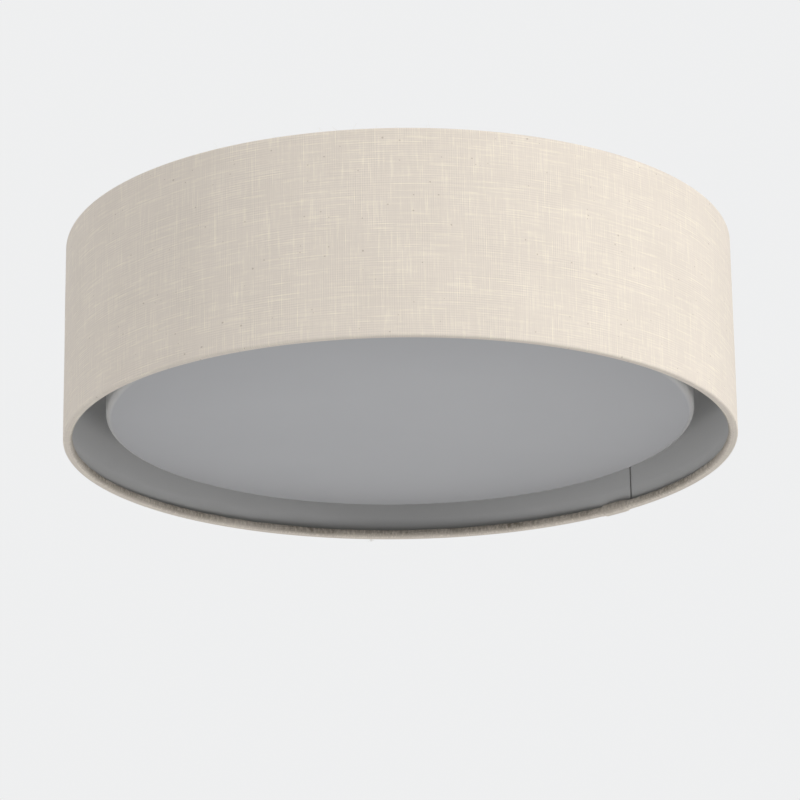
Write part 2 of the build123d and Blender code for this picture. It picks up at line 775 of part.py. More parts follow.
driver_board_top = driver_base_bottom - driver_post_height
driver_board_bottom = driver_board_top - driver_board_thickness
with BuildPart() as driver_board:
    with BuildSketch(Plane.XY.offset(driver_board_top)):
        with Locations(driver_place):
            Rectangle(
                driver_length - 2 * driver_wall - 2 * case_gap,
                driver_width - 2 * driver_wall - 2 * case_gap,
            )
    extrude(amount=-driver_board_thickness)
driver_board.part.label = "driver_board"
export_step(driver_board.part, "parts/driver_board.step")

with BuildPart() as driver_transformer:
    core_length, core_width, core_height = transformer_size
    with BuildSketch(Plane.XY.offset(driver_board_bottom)):
        with Locations(transformer_place):
            Rectangle(core_length, core_width)
    extrude(amount=-core_height)
    chamfer(driver_transformer.edges().filter_by(Axis.Z), driver_wall)
driver_transformer.part.label = "driver_transformer"
export_step(driver_transformer.part, "parts/driver_transformer.step")

with BuildPart() as driver_capacitor:
    with BuildSketch(Plane.XY.offset(driver_board_bottom)):
        with Locations(capacitor_place):
            Circle(capacitor_radius)
    extrude(amount=-capacitor_length)
    fillet(driver_capacitor.faces().sort_by(Axis.Z)[0].edges(), capacitor_radius / 6)
driver_capacitor.part.label = "driver_capacitor"
export_step(driver_capacitor.part, "parts/driver_capacitor.step")

with Locations(driver_place):
    driver_screw_places = GridLocations(2 * driver_ear_x, 0, 2, 1)
driver_screws = hung_screws(
    driver_screw_places,
    driver_base_bottom - driver_wall,
    small_head_radius,
    small_head_height,
    small_screw_radius,
    small_tip,
)
driver_screws.part.label = "driver_screws"
export_step(driver_screws.part, "parts/driver_screws.step")

# The terminal block, its screws, and the pan's earth

with BuildPart() as terminal_block:
    with BuildSketch(Plane.XY.offset(floor_bottom)):
        with Locations(block_place):
            Rectangle(block_width, block_length)
    extrude(amount=-block_height)
    with BuildSketch(Plane.XY.offset(block_bottom)):
        with Locations(block_place):
            with GridLocations(2 * pole_offset, pole_pitch, 2, 3):
                Circle(pole_screw_radius + running_gap)
            with GridLocations(0, pole_pitch, 1, 2):
                Circle(small_head_radius + running_gap)
    extrude(amount=pole_well_depth, mode=Mode.SUBTRACT)
    with BuildSketch(Plane.XY.offset(block_bottom)):
        with Locations(block_place):
            with GridLocations(0, pole_pitch, 1, 2):
                Circle(small_screw_radius + running_gap)
    extrude(amount=block_height, mode=Mode.SUBTRACT)
    for side in (-1, 1):
        entry_face = block_place[0] + side * block_width / 2
        with BuildSketch(Plane.YZ.offset(entry_face)):
            with Locations((block_place[1], entry_level)):
                with GridLocations(pole_pitch, 0, 3, 1):
                    Circle(pole_entry_radius)
        extrude(amount=-side * pole_entry_depth, mode=Mode.SUBTRACT)
terminal_block.part.label = "terminal_block"
export_step(terminal_block.part, "parts/terminal_block.step")

with Locations(block_place):
    pole_places = GridLocations(2 * pole_offset, pole_pitch, 2, 3)
    block_screw_places = GridLocations(0, pole_pitch, 1, 2)
with BuildPart() as terminal_screws:
    with BuildSketch(Plane.XY.offset(block_bottom + pole_well_depth)):
        with pole_places:
            Circle(pole_screw_radius)
    extrude(amount=-pole_screw_length)
    with BuildSketch(Plane.XY.offset(block_bottom + pole_well_depth - pole_screw_length)):
        with pole_places:
            Rectangle(3 * pole_screw_radius, driver_slot_width)
    extrude(amount=driver_slot_depth, mode=Mode.SUBTRACT)
terminal_screws.part.label = "terminal_screws"
export_step(terminal_screws.part, "parts/terminal_screws.step")

block_screws = hung_screws(
    block_screw_places,
    block_bottom + pole_well_depth,
    small_head_radius,
    small_head_height,
    small_screw_radius,
    small_tip,
)
block_screws.part.label = "block_screws"
export_step(block_screws.part, "parts/block_screws.step")

earth_screw = hung_screws(
    Locations(earth_screw_place),
    floor_bottom - earth_tag_thickness,
    small_head_radius,
    small_head_height,
    small_screw_radius,
    small_tip,
)
earth_screw.part.label = "earth_screw"
export_step(earth_screw.part, "parts/earth_screw.step")

tag_turn = radians(earth_tag_angle)
tag_way = Vector(cos(tag_turn), sin(tag_turn), 0)
tag_centre = Vector(*earth_screw_place, floor_bottom)
barrel_centre = tag_centre + tag_way * earth_tag_reach - Vector(0, 0, earth_barrel_radius)
with BuildPart() as earth_tag:
    with BuildSketch(Plane(tag_centre, x_dir=tag_way)):
        Circle(earth_tag_radius)
        with Locations((earth_tag_reach / 2, 0)):
            Rectangle(earth_tag_reach, 2 * earth_barrel_radius)
        Circle(small_screw_radius + running_gap, mode=Mode.SUBTRACT)
    extrude(amount=-earth_tag_thickness)
    with BuildSketch(Plane(barrel_centre, z_dir=tag_way)):
        Circle(earth_barrel_radius)
    extrude(amount=-earth_barrel_length)
    with BuildSketch(Plane(barrel_centre, z_dir=tag_way)):
        Circle(lead_radius + bond_gap)
    extrude(amount=-earth_barrel_length, mode=Mode.SUBTRACT)
earth_tag.part.label = "earth_tag"
export_step(earth_tag.part, "parts/earth_tag.step")

# The leads: each ends inside the pieces that it joins

pole_face = block_place[0] + block_width / 2
line_pole = block_place[1] + pole_pitch
neutral_pole = block_place[1]
earth_pole = block_place[1] - pole_pitch
inside = pole_entry_depth - lead_gap
right_inside = right_end - 2 * driver_wall
left_inside = left_end + 2 * driver_wall
(line_y, line_z), (neutral_y, neutral_z) = input_entries
(positive_y, positive_z), (negative_y, negative_z) = output_entries

lead_line = lead(
    (pole_face - inside, line_pole, entry_level),
    (pole_face + 12, line_pole, entry_level),
    (pole_face + 26, line_pole + 12, entry_level - 1),
    (pole_face + 28, line_pole + 30, line_z + 1),
    (right_end + driver_lead_run, line_y, line_z),
    (right_inside, line_y, line_z),
)
lead_line.part.label = "lead_line"
export_step(lead_line.part, "parts/lead_line.step")

lead_neutral = lead(
    (pole_face - inside, neutral_pole, entry_level),
    (pole_face + 14, neutral_pole, entry_level),
    (pole_face + 29, neutral_pole + 14, entry_level - 4),
    (pole_face + 33, neutral_pole + 36, neutral_z - 1),
    (pole_face + 30, neutral_pole + 54, neutral_z - 1),
    (right_end + 7, neutral_y, neutral_z),
    (right_inside, neutral_y, neutral_z),
)
lead_neutral.part.label = "lead_neutral"
export_step(lead_neutral.part, "parts/lead_neutral.step")

lead_earth = lead(
    (pole_face - inside, earth_pole, entry_level),
    (pole_face + 4, earth_pole, entry_level),
    tuple(barrel_centre + tag_way * 5),
    tuple(barrel_centre - tag_way * earth_barrel_length),
)
lead_earth.part.label = "lead_earth"
export_step(lead_earth.part, "parts/lead_earth.step")

plug_end = inner_face - connector_entry_depth + lead_gap
plug_level = board_bottom - connector_height / 2
led_lead_positive = lead(
    (left_inside, positive_y, positive_z),
    (left_end - driver_lead_run, positive_y, positive_z),
    (-cover_radius + 6, connector_place[1] + 3, notch_level),
    (-recess_radius + 1, connector_place[1] - connector_pitch / 2, notch_level),
    (inner_face + 4, connector_place[1] - connector_pitch / 2, plug_level),
    (plug_end, connector_place[1] - connector_pitch / 2, plug_level),
)
led_lead_positive.part.label = "led_lead_positive"
export_step(led_lead_positive.part, "parts/led_lead_positive.step")

led_lead_negative = lead(
    (left_inside, negative_y, negative_z),
    (left_end - driver_lead_run, negative_y, negative_z),
    (-cover_radius + 7, connector_place[1] + 9, notch_level),
    (-recess_radius + 1, connector_place[1] + connector_pitch / 2, notch_level),
    (inner_face + 4, connector_place[1] + connector_pitch / 2, plug_level),
    (plug_end, connector_place[1] + connector_pitch / 2, plug_level),
)
led_lead_negative.part.label = "led_lead_negative"
export_step(led_lead_negative.part, "parts/led_lead_negative.step")

# The driver cover, a pressed cup with a notch for the board's leads

with BuildPart() as driver_cover:
    half = cover_thickness / 2
    with BuildSketch(Plane.XZ):
        with BuildLine():
            FilletPolyline(
                (0, cover_bottom + half),
                (cover_radius - half, cover_bottom + half),
                (cover_radius - half, floor_bottom - half),
                (cover_flange_radius, floor_bottom - half),
                radius=(cover_bend, cover_thickness),
            )
        trace(line_width=cover_thickness)
    revolve(axis=Axis.Z)
    with BuildSketch(Plane.XY.offset(floor_bottom)):
        with PolarLocations(cover_screw_circle, cover_screw_count, start_angle=cover_screw_angle):
            Circle(small_screw_radius + running_gap)
    extrude(amount=-cover_thickness, mode=Mode.SUBTRACT)
    with BuildSketch(facing(cover_notch_angle, cover_radius - cover_bend)):
        with Locations((0, notch_level)):
            Rectangle(cover_notch_width, cover_notch_height)
    extrude(amount=2 * cover_bend, mode=Mode.SUBTRACT)
driver_cover.part.label = "driver_cover"
export_step(driver_cover.part, "parts/driver_cover.step")

cover_screws = hung_screws(
    PolarLocations(cover_screw_circle, cover_screw_count, start_angle=cover_screw_angle),
    floor_bottom - cover_thickness,
    small_head_radius,
    small_head_height,
    small_screw_radius,
    small_tip,
)
cover_screws.part.label = "cover_screws"
export_step(cover_screws.part, "parts/cover_screws.step")
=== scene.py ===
import json
import random
from math import cos, hypot, pi, radians, sin, tau

import bpy
from mathutils import Matrix, Vector, noise


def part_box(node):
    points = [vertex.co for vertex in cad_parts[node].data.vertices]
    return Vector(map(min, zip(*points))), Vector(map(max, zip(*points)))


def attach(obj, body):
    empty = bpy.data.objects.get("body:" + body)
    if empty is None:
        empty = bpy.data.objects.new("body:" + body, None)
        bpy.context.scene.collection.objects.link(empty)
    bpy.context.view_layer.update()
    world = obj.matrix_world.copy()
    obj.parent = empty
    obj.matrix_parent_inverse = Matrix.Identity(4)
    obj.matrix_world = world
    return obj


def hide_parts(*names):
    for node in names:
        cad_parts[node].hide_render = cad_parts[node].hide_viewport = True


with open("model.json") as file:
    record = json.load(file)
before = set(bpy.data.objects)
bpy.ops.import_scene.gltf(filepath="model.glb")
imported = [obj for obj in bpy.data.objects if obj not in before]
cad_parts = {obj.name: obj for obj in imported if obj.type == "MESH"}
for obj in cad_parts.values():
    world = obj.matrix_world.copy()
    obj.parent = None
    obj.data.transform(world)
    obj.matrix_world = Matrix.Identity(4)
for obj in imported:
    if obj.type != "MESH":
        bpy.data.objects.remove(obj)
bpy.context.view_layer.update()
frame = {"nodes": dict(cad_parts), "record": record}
cad = frame["nodes"]
mm = 0.001
print("frame loaded:", len(cad), "CAD pieces")

# the camera stands in front of the light and well below it, and looks up
cameraSettings = {
    "place": (0.0, -2.1358, -0.8008),
    "pitch": 18.25,  # degrees above level
    "yaw": 0.0,
    "roll": -0.75,  # lifts the right of the picture
    "lens": 167.0,
    "sensor": 36.0,
}


def makeCamera(settings):
    data = bpy.data.cameras.new("viewCamera")
    data.lens = settings["lens"]
    data.sensor_width = settings["sensor"]
    data.clip_end = 200.0
    camera = bpy.data.objects.new("viewCamera", data)
    bpy.context.scene.collection.objects.link(camera)
    turn = Matrix.Rotation(radians(settings["yaw"]), 4, "Z")
    tip = Matrix.Rotation(radians(90 + settings["pitch"]), 4, "X")
    roll = Matrix.Rotation(radians(settings["roll"]), 4, "Z")
    camera.matrix_world = Matrix.Translation(settings["place"]) @ turn @ tip @ roll
    bpy.context.scene.camera = camera


makeCamera(cameraSettings)


# small helpers for node trees
def startMaterial(name):
    material = bpy.data.materials.new(name)
    material.use_nodes = True
    return material, material.node_tree, material.node_tree.nodes["Principled BSDF"]


def feed(tree, socket, value):
    if isinstance(value, bpy.types.NodeSocket):
        tree.links.new(value, socket)
    else:
        socket.default_value = value


def calc(tree, operation, *values, clamp=False):
    node = tree.nodes.new("ShaderNodeMath")
    node.operation = operation
    node.use_clamp = clamp
    for socket, value in zip(node.inputs, values):
        feed(tree, socket, value)
    return node.outputs[0]


def spread(tree, value, low, high, newLow, newHigh):
    node = tree.nodes.new("ShaderNodeMapRange")
    for socket, number in zip(node.inputs, (value, low, high, newLow, newHigh)):
        feed(tree, socket, number)
    return node.outputs[0]


def spreadNoise(tree, field, newLow, newHigh):
    return spread(tree, field, 0.3, 0.7, newLow, newHigh)  # most of a noise field lies between these


def splitVector(tree, vector):
    node = tree.nodes.new("ShaderNodeSeparateXYZ")
    tree.links.new(vector, node.inputs[0])
    return node.outputs


def joinVector(tree, *values):
    node = tree.nodes.new("ShaderNodeCombineXYZ")
    for socket, value in zip(node.inputs, values):
        feed(tree, socket, value)
    return node.outputs[0]


def noiseField(tree, vector, scale=1.0, detail=2.0, roughness=0.5):
    node = tree.nodes.new("ShaderNodeTexNoise")
    tree.links.new(vector, node.inputs["Vector"])
    node.inputs["Scale"].default_value = scale
    node.inputs["Detail"].default_value = detail
    node.inputs["Roughness"].default_value = roughness
    return node.outputs["Fac"]


def objectPlace(tree):
    return tree.nodes.new("ShaderNodeTexCoord").outputs["Object"]


def fromAxis(tree, x, y):
    return calc(tree, "SQRT", calc(tree, "ADD", calc(tree, "MULTIPLY", x, x), calc(tree, "MULTIPLY", y, y)))


def stretch(tree, vector, scale):
    node = tree.nodes.new("ShaderNodeVectorMath")
    node.operation = "MULTIPLY"
    tree.links.new(vector, node.inputs[0])
    node.inputs[1].default_value = scale
    return node.outputs[0]


def mixColours(tree, share, first, second):
    node = tree.nodes.new("ShaderNodeMix")
    node.data_type = "RGBA"
    feed(tree, node.inputs["Factor"], share)
    for name, value in (("A", first), ("B", second)):
        colourSocket = next(s for s in node.inputs if s.name == name and s.type == "RGBA")
        feed(tree, colourSocket, value)
    return next(s for s in node.outputs if s.type == "RGBA")


def addBump(tree, shader, height, distance):
    node = tree.nodes.new("ShaderNodeBump")
    node.inputs["Distance"].default_value = distance
    node.inputs["Strength"].default_value = 1.0
    tree.links.new(height, node.inputs["Height"])
    tree.links.new(node.outputs["Normal"], shader.inputs["Normal"])


def scaleColour(tree, colour, factor):
    node = tree.nodes.new("ShaderNodeVectorMath")
    node.operation = "SCALE"
    tree.links.new(colour, node.inputs[0])
    tree.links.new(factor, node.inputs["Scale"])
    return node.outputs[0]


def tint(colour, factor):
    return tuple(min(1.0, part * factor) for part in colour[:3]) + (1.0,)


# the linen drum: one cloth over the wall, rolled round the ring wires at both edges
shadeLow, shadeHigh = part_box("shade_fabric")
ringLow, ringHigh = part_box("shade_bottom_ring")
drum = {
    "radius": shadeHigh.x,
    "top": shadeHigh.z,
    "bottom": shadeLow.z,
    "cloth": 0.9 * mm,
    "ringWire": (ringHigh.z - ringLow.z) / 2,
    "wireGap": 0.1 * mm,
    "hemTurn": 210.0,  # degrees that the cloth runs round the wire, past the shade's edge
    "hemTurnSteps": 13,
    "crease": 0.75 * mm,  # bend of the cloth at the shade's edge
    "creaseSteps": 4,
    "columns": 700,
    "wallRows": 26,
    "seamAngle": 44.0,  # degrees round the drum, from its right towards its back
    "seamLap": 22.0 * mm,
    "seamRise": 0.5 * mm,
    "seamFall": 0.8 * mm,  # over which the lap's edge rises
    "bumpLength": 18.5 * mm,  # the hem's own overlap
    "bumpRise": 0.95 * mm,
    "bumpFall": 4.0 * mm,
    "ripple": 0.16 * mm,
    "pucker": 0.32 * mm,
    "puckerPitch": 6.5 * mm,
}
rollRadius = drum["ringWire"] + drum["wireGap"] + drum["cloth"] / 2
rollCircle = drum["radius"] - rollRadius - drum["cloth"] / 2
rollTop = drum["top"] - rollRadius - drum["cloth"] / 2
rollBottom = drum["bottom"] + rollRadius + drum["cloth"] / 2
hemFlat = rollRadius - drum["crease"]
hemCorner = drum["crease"] * pi / 2
hemRun = 2 * hemFlat + hemCorner + rollRadius * radians(drum["hemTurn"])
flatLength = rollTop - rollBottom + 2 * hemRun


# the linen: warp and weft threads with slubs, in metres along the cloth
linenSettings = {
    "ground": (0.80, 0.725, 0.640),
    "thread": (0.85, 0.780, 0.665),  # the thick pale lengths of thread
    "weftPitch": 0.00070,
    "warpPitch": 0.00066,
    "wander": 0.9,  # in threads, how far they stray from straight
    "slubLength": 0.023,
    "slubShare": 0.040,
    "ribShare": 0.032,  # how much every second thread is paler, in patches
    "gapShare": 0.05,
    "cloudShare": 0.018,
    "fleckLimit": 0.835,
    "fleck": (0.30, 0.22, 0.15),
    "fleckShare": 0.4,
    "glueStainAndShade": (0.27, 0.23, 0.18),  # glue stain and painted shade darken the cloth that is turned in
    "turnedReach": (0.0060, 0.0078),
    "turnedRagged": 0.0012,
    "threadHeight": 0.00014,
    "roughness": 0.92,
    "sheen": 0.12,
    "sheenRoughness": 0.5,
    "specular": 0.25,
}


def threadField(tree, across, along, pitch, settings, seed):
    drift = noiseField(tree, joinVector(tree, calc(tree, "MULTIPLY", along, 26.0), seed, 0.0), 1.0, 1.0)
    count = calc(tree, "ADD", calc(tree, "DIVIDE", across, pitch), calc(tree, "MULTIPLY", drift, settings["wander"]))
    number = calc(tree, "FLOOR", count)
    arch = calc(tree, "SINE", calc(tree, "MULTIPLY", calc(tree, "SUBTRACT", count, number), pi))
    run = calc(tree, "DIVIDE", along, settings["slubLength"])
    value = noiseField(tree, joinVector(tree, run, calc(tree, "MULTIPLY", number, 7.31), seed), 1.0, 2.0, 0.6)
    # most of a thread is even and a few lengths of it are thick and pale
    even = spread(tree, value, 0.25, 0.56, -0.6, 0.0)
    thick = spread(tree, value, 0.56, 0.70, 0.0, 1.0)
    slub = calc(tree, "ADD", even, thick)
    second = calc(tree, "MODULO", calc(tree, "ADD", number, 6000.0), 2.0)  # an even number keeps it positive
    patchPlace = joinVector(tree, calc(tree, "MULTIPLY", along, 34.0), calc(tree, "MULTIPLY", across, 60.0),
                            seed + 5.0)
    patch = noiseField(tree, patchPlace, 1.0, 2.0)
    rib = calc(tree, "MULTIPLY", spread(tree, second, 0.0, 1.0, -1.0, 1.0),
               spread(tree, patch, 0.42, 0.62, 0.15, 1.0))
    return number, arch, slub, rib


def makeLinen(settings):
    material, tree, shader = startMaterial("linen")
    uvNode = tree.nodes.new("ShaderNodeUVMap")
    uvNode.uv_map = "clothMap"
    cloth = uvNode.outputs[0]
    along, across = splitVector(tree, cloth)[:2]
    weftNumber, weftArch, weftSlub, weftRib = threadField(tree, across, along, settings["weftPitch"], settings, 3.7)
    warpNumber, warpArch, warpSlub, warpRib = threadField(tree, along, across, settings["warpPitch"], settings, 9.1)
    parity = calc(tree, "MODULO", calc(tree, "ADD", weftNumber, calc(tree, "ADD", warpNumber, 8000.0)), 2.0)
    weftOnTop = calc(tree, "GREATER_THAN", parity, 0.5)
    slub = calc(tree, "ADD", weftSlub, warpSlub)
    rib = calc(tree, "ADD", weftRib, warpRib)
    gap = calc(tree, "SUBTRACT", 1.0, calc(tree, "MAXIMUM", weftArch, warpArch))
    cloud = spreadNoise(tree, noiseField(tree, stretch(tree, cloth, (26.0, 30.0, 1.0)), 1.0, 3.0), -1.0, 1.0)
    bright = calc(tree, "ADD", 1.0, calc(tree, "MULTIPLY", slub, settings["slubShare"]))
    bright = calc(tree, "ADD", bright, calc(tree, "MULTIPLY", rib, settings["ribShare"]))
    bright = calc(tree, "SUBTRACT", bright, calc(tree, "MULTIPLY", gap, settings["gapShare"]))
    bright = calc(tree, "ADD", bright, calc(tree, "MULTIPLY", cloud, settings["cloudShare"]))
    base = mixColours(tree, spread(tree, slub, -0.3, 1.2, 0.0, 1.0), (*settings["ground"], 1.0),
                      (*settings["thread"], 1.0))
    toned = scaleColour(tree, base, bright)
    fleckField = noiseField(tree, stretch(tree, cloth, (420.0, 520.0, 1.0)), 1.0, 0.0)
    fleck = calc(tree, "MULTIPLY", calc(tree, "GREATER_THAN", fleckField, settings["fleckLimit"]),
                 settings["fleckShare"])
    flecked = mixColours(tree, fleck, toned, (*settings["fleck"], 1.0))
    ragged = noiseField(tree, stretch(tree, cloth, (520.0, 260.0, 1.0)), 1.0, 3.0, 0.65)
    # the turned-in cloth near both free edges is darkened, partly glue stain and partly painted shade
    fromEdge = calc(tree, "ADD", calc(tree, "MINIMUM", across, calc(tree, "SUBTRACT", flatLength, across)),
                    spreadNoise(tree, ragged, -settings["turnedRagged"], settings["turnedRagged"]))
    turned = spread(tree, fromEdge, *settings["turnedReach"], 1.0, 0.0)
    stains = noiseField(tree, stretch(tree, cloth, (15.0, 0.0, 1.0)), 1.0, 2.0)
    spots = calc(tree, "MULTIPLY", spread(tree, ragged, 0.35, 0.62, 0.35, 1.0),
                 spread(tree, stains, 0.35, 0.6, 0.5, 1.0))
    patchy = calc(tree, "MULTIPLY", turned, spots)
    tree.links.new(mixColours(tree, patchy, flecked, (*settings["glueStainAndShade"], 1.0)), shader.inputs["Base Color"])
    weftHeight = calc(tree, "MULTIPLY", weftArch, spread(tree, weftOnTop, 0.0, 1.0, 0.7, 1.0))
    warpHeight = calc(tree, "MULTIPLY", warpArch, spread(tree, weftOnTop, 0.0, 1.0, 1.0, 0.7))
    height = calc(tree, "ADD", calc(tree, "MAXIMUM", weftHeight, warpHeight), calc(tree, "MULTIPLY", slub, 0.3))
    addBump(tree, shader, height, settings["threadHeight"])
    tree.links.new(spread(tree, weftArch, 0.0, 1.0, settings["roughness"], settings["roughness"] - 0.06),
                   shader.inputs["Roughness"])
    shader.inputs["Sheen Weight"].default_value = settings["sheen"]
    shader.inputs["Sheen Roughness"].default_value = settings["sheenRoughness"]
    shader.inputs["Specular IOR Level"].default_value = settings["specular"]
    return material


# plastics, coatings and rubber: a mottled colour, a fine grain and worn roughness
def makeCoating(name, colour, roughness=0.5, grain=2600.0, grainHeight=0.00002, mottle=0.04,
                mottleScale=45.0, specular=0.5):
    material, tree, shader = startMaterial(name)
    place = objectPlace(tree)
    cloud = noiseField(tree, place, mottleScale, 4.0, 0.6)
    fine = noiseField(tree, place, grain, 2.0)
    tone = spreadNoise(tree, cloud, 0.0, 1.0)
    tree.links.new(mixColours(tree, tone, tint(colour, 1 - mottle), tint(colour, 1 + mottle)),
                   shader.inputs["Base Color"])
    rough = calc(tree, "ADD", spread(tree, cloud, 0.25, 0.75, roughness - 0.05, roughness + 0.05),
                 spreadNoise(tree, fine, -0.03, 0.03))
    tree.links.new(rough, shader.inputs["Roughness"])
    addBump(tree, shader, fine, grainHeight)
    shader.inputs["Specular IOR Level"].default_value = specular
    return material


# plated and rolled metals: stretched brush marks, cloudy plating and fine pits
def makeMetal(name, colour, roughness=0.3, brush=(900.0, 60.0, 900.0), brushHeight=0.000012, cloudy=0.06,
              spangle=0.0):
    material, tree, shader = startMaterial(name)
    place = objectPlace(tree)
    marks = noiseField(tree, stretch(tree, place, brush), 1.0, 3.0, 0.65)
    cloud = noiseField(tree, place, 70.0, 4.0, 0.6)
    tone = calc(tree, "ADD", spreadNoise(tree, cloud, -cloudy, cloudy),
                spreadNoise(tree, marks, -0.04, 0.04))
    if spangle:
        cells = tree.nodes.new("ShaderNodeTexVoronoi")
        cells.inputs["Scale"].default_value = 160.0
        tree.links.new(place, cells.inputs["Vector"])
        cellTone = splitVector(tree, cells.outputs["Color"])[0]
        tone = calc(tree, "ADD", tone, spread(tree, cellTone, 0.0, 1.0, -spangle, spangle))
    share = calc(tree, "ADD", 0.5, calc(tree, "MULTIPLY", tone, 2.5), clamp=True)
    tree.links.new(mixColours(tree, share, tint(colour, 0.82), tint(colour, 1.12)), shader.inputs["Base Color"])
    rough = calc(tree, "ADD", roughness, calc(tree, "MULTIPLY", tone, 1.1), clamp=True)
    tree.links.new(rough, shader.inputs["Roughness"])
    addBump(tree, shader, marks, brushHeight)
    shader.inputs["Metallic"].default_value = 1.0
    return material


# the circuit board: white solder mask over copper tracks that run round it
boardSettings = {
    "mask": (0.86, 0.86, 0.84),
    "track": (0.78, 0.77, 0.72),
    "dust": (0.6, 0.58, 0.52),
    "trackPitch": 0.009,
    "trackGap": 0.12,  # half of the bare strip between two tracks, as a share of the pitch
    "trackCuts": 24,
    "cutShare": 0.035,
    "roughness": 0.42,
}


def makeBoard(settings):
    material, tree, shader = startMaterial("whiteBoard")
    place = objectPlace(tree)
    x, y = splitVector(tree, place)[:2]
    radius = fromAxis(tree, x, y)
    angle = calc(tree, "ARCTAN2", y, x)
    ringPlace = calc(tree, "FRACT", calc(tree, "DIVIDE", radius, settings["trackPitch"]))
    fromMiddle = calc(tree, "ABSOLUTE", calc(tree, "SUBTRACT", ringPlace, 0.5))
    track = calc(tree, "GREATER_THAN", fromMiddle, settings["trackGap"])
    spoke = calc(tree, "FRACT", calc(tree, "MULTIPLY", angle, settings["trackCuts"] / tau))
    cut = calc(tree, "GREATER_THAN", spoke, settings["cutShare"])
    track = calc(tree, "MULTIPLY", track, cut)
    colour = mixColours(tree, calc(tree, "MULTIPLY", track, 0.5), (*settings["mask"], 1.0), (*settings["track"], 1.0))
    cloud = noiseField(tree, place, 60.0, 3.0)
    tree.links.new(mixColours(tree, spreadNoise(tree, cloud, 0.0, 0.08), colour, (*settings["dust"], 1.0)),
                   shader.inputs["Base Color"])
    tree.links.new(spreadNoise(tree, cloud, settings["roughness"] - 0.06, settings["roughness"] + 0.06),
                   shader.inputs["Roughness"])
    addBump(tree, shader, track, 0.00004)
    return material


# opal acrylic: its face is painted darker towards its rim, which is painted shade, and its rounded corner and side
# wall are painted paler, which is painted light
opalSettings = {
    "middle": (0.492, 0.494, 0.506),
    # the rim's colour is painted shade
    "rim": (0.424, 0.426, 0.438),
    # the side's colour is painted light
    "side": (0.66, 0.655, 0.64),
    "reach": (0.03, 0.174),
    "paintedLightReach": (0.174, 0.1768),
    "roughness": 0.33,
    "soak": 0.25,  # share of the light that travels inside the acrylic
    "soakColour": (1.0, 0.95, 0.9),
    "depth": 0.004,
}


def makeOpal(settings):
    material, tree, shader = startMaterial("opalAcrylic")
    place = objectPlace(tree)
    radius = fromAxis(tree, *splitVector(tree, place)[:2])
    cloud = noiseField(tree, place, 9.0, 3.0)
    # painted shade: the face darkens from the middle out to the rim
    share = calc(tree, "POWER", spread(tree, radius, *settings["reach"], 0.0, 1.0), 2.0)
    share = calc(tree, "ADD", share, spreadNoise(tree, cloud, -0.06, 0.06), clamp=True)
    face = mixColours(tree, share, (*settings["middle"], 1.0), (*settings["rim"], 1.0))
    # painted light: the rounded corner and side wall are paler than the face
    side = spread(tree, radius, *settings["paintedLightReach"], 0.0, 1.0)
    tree.links.new(mixColours(tree, side, face, (*settings["side"], 1.0)), shader.inputs["Base Color"])
    fine = noiseField(tree, place, 900.0, 2.0)
    tree.links.new(spreadNoise(tree, cloud, settings["roughness"] - 0.03, settings["roughness"] + 0.04),
                   shader.inputs["Roughness"])
    addBump(tree, shader, fine, 0.000006)
    shader.inputs["Subsurface Weight"].default_value = settings["soak"]
    shader.inputs["Subsurface Radius"].default_value = settings["soakColour"]
    shader.inputs["Subsurface Scale"].default_value = settings["depth"]
    return material


# the liner's film is painted darker along its edges, where the turned-in cloth lies behind it: painted shade
linerSettings = {
    "film": (0.605, 0.605, 0.604),
    # colour of the painted shade along the edges
    "edge": (0.42, 0.42, 0.412),
    "paintedShadeReach": 0.0085,
    "roughness": 0.5,
}


def makeLinerFilm(settings):
    material, tree, shader = startMaterial("linerFilm")
    place = objectPlace(tree)
    level = splitVector(tree, place)[2]
    low, high = (corner.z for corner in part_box("shade_liner"))
    # painted shade: the film darkens towards its upper and lower edges
    fromEdge = calc(tree, "MINIMUM", calc(tree, "SUBTRACT", level, low), calc(tree, "SUBTRACT", high, level))
    cloud = noiseField(tree, place, 18.0, 4.0, 0.6)
    reach = spreadNoise(tree, cloud, settings["paintedShadeReach"] * 0.8, settings["paintedShadeReach"] * 1.2)
    share = calc(tree, "SUBTRACT", 1.0, calc(tree, "DIVIDE", fromEdge, reach), clamp=True)
    film = mixColours(tree, spreadNoise(tree, cloud, 0.0, 1.0), tint(settings["film"], 0.985),
                      tint(settings["film"], 1.015))
    tree.links.new(mixColours(tree, share, film, (*settings["edge"], 1.0)), shader.inputs["Base Color"])
    tree.links.new(spreadNoise(tree, cloud, settings["roughness"] - 0.05, settings["roughness"] + 0.05),
                   shader.inputs["Roughness"])
    addBump(tree, shader, noiseField(tree, place, 1800.0, 2.0), 0.00001)
    shader.inputs["Specular IOR Level"].default_value = 0.4
    return material


# tape wound round the transformer
def makeWinding(colour):
    material, tree, shader = startMaterial("windingTape")
    place = objectPlace(tree)
    height = splitVector(tree, place)[2]
    lapping = calc(tree, "FRACT", calc(tree, "MULTIPLY", height, 420.0))  # turns per metre
    cloud = noiseField(tree, place, 300.0, 3.0)
    tree.links.new(mixColours(tree, spreadNoise(tree, cloud, 0.0, 1.0), tint(colour, 0.86), tint(colour, 1.1)),
                   shader.inputs["Base Color"])
    tree.links.new(spreadNoise(tree, cloud, 0.3, 0.45), shader.inputs["Roughness"])
    addBump(tree, shader, lapping, 0.0001)
    return material


